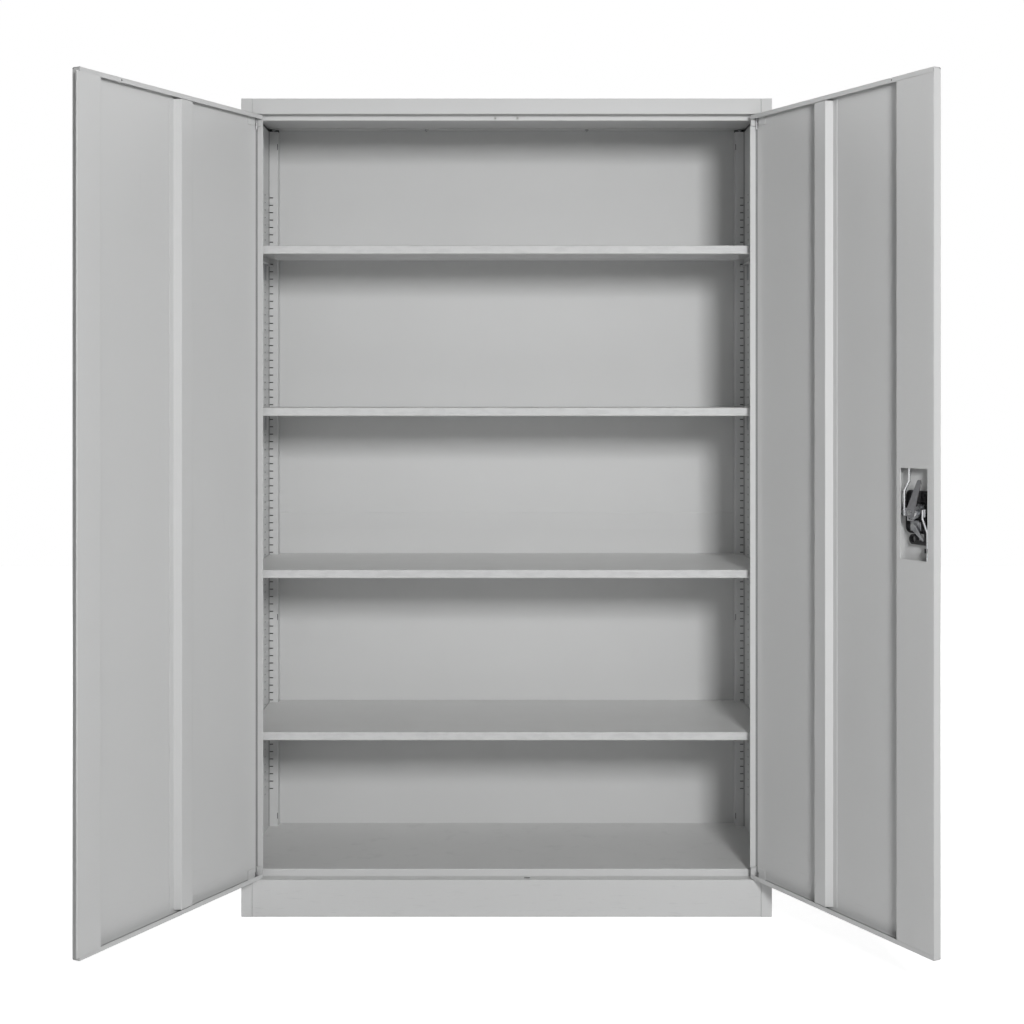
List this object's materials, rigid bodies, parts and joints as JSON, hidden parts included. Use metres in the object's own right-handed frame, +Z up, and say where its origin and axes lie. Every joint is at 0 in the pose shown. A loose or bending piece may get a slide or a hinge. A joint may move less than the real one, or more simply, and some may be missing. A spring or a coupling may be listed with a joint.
{
  "type": "office filing cupboard",
  "caption": "Tall sheet-steel office cupboard with wide-opening hinged doors, adjustable shelves in slotted uprights and a three-point handle lock.",
  "frame": {"origin": "on the floor at the middle of the plinth's front face, on the plinth's foot fold", "axes": "+X to the cupboard's right as one faces it, +Y from the front into the cupboard, +Z up"},
  "size_m": [1.6796, 0.9107, 1.85],
  "materials": {
    "case_paint": "satin",
    "zinc_steel": "satin",
    "plain_steel": "satin",
    "black_plastic": "matte",
    "nylon": "matte",
    "rubber": "matte"
  },
  "bodies": {
    "case": {"left_side_panel": "case_paint", "right_side_panel": "case_paint", "top_panel": "case_paint", "bottom_panel": "case_paint", "plinth": "case_paint", "upper_back_panel": "case_paint", "lower_back_panel": "case_paint", "left_front_upright": "case_paint", "right_front_upright": "case_paint", "left_rear_upright": "case_paint", "right_rear_upright": "case_paint", "shelf_1": "case_paint", "shelf_2": "case_paint", "shelf_3": "case_paint", "shelf_4": "case_paint", "shelf_1_stiffener": "case_paint", "shelf_2_stiffener": "case_paint", "shelf_3_stiffener": "case_paint", "shelf_4_stiffener": "case_paint", "shelf_1_clips": "zinc_steel", "shelf_2_clips": "zinc_steel", "shelf_3_clips": "zinc_steel", "shelf_4_clips": "zinc_steel", "back_screws": "plain_steel", "door_buffers": "rubber", "pivot_bushes": "nylon"},
    "left_door": {"left_door_skin": "case_paint", "left_door_stile": "case_paint", "left_door_stiffener": "case_paint", "left_door_pivot_brackets": "zinc_steel", "left_door_pivot_pins": "plain_steel"},
    "right_door": {"right_door_skin": "case_paint", "right_door_stile": "case_paint", "right_door_stiffener": "case_paint", "right_door_pivot_brackets": "zinc_steel", "right_door_pivot_pins": "plain_steel", "handle_housing": "black_plastic", "housing_screws": "zinc_steel", "lock_cylinder": "zinc_steel", "cylinder_nut": "zinc_steel", "rod_clip": "black_plastic", "rod_guides": "nylon"},
    "handle": {"handle_lever": "black_plastic", "spindle": "plain_steel", "cam_plate": "zinc_steel", "spindle_sleeve": "zinc_steel", "latch_tongue": "zinc_steel", "spindle_screw": "plain_steel"},
    "plug": {"lock_plug": "plain_steel", "plug_cam": "zinc_steel"},
    "upper_rod_body": {"upper_rod": "zinc_steel"},
    "lower_rod_body": {"lower_rod": "zinc_steel"}
  },
  "joints": [
    {"name": "left_door_hinge", "type": "hinge", "parent": "case", "child": "left_door", "pos_m": [-0.5665, 0.005, 0.95], "axis": [0, 0, 1], "range_deg": [0, 118.5]},
    {"name": "right_door_hinge", "type": "hinge", "parent": "case", "child": "right_door", "pos_m": [0.5665, 0.005, 0.95], "axis": [0, 0, -1], "range_deg": [0, 118.5]},
    {"name": "handle_turn", "type": "hinge", "parent": "right_door", "child": "handle", "pos_m": [0.81329, -0.43905, 0.948], "axis": [0.8788, 0.4772, 0], "range_deg": [0, 90]},
    {"name": "plug_turn", "type": "hinge", "parent": "right_door", "child": "plug", "pos_m": [0.81329, -0.43905, 0.9205], "axis": [0.8788, 0.4772, 0], "range_deg": [0, 90]},
    {"name": "upper_rod_slide", "type": "slide", "parent": "right_door", "child": "upper_rod_body", "axis": [0, 0, 1], "range_m": [0, 0.02263]},
    {"name": "lower_rod_slide", "type": "slide", "parent": "right_door", "child": "lower_rod_body", "axis": [0, 0, -1], "range_m": [0, 0.02263]}
  ],
  "couplings": [
    {"joint": "upper_rod_slide", "follows": "handle_turn", "m_per_rad": 0.014405},
    {"joint": "lower_rod_slide", "follows": "handle_turn", "m_per_rad": 0.014405}
  ]
}
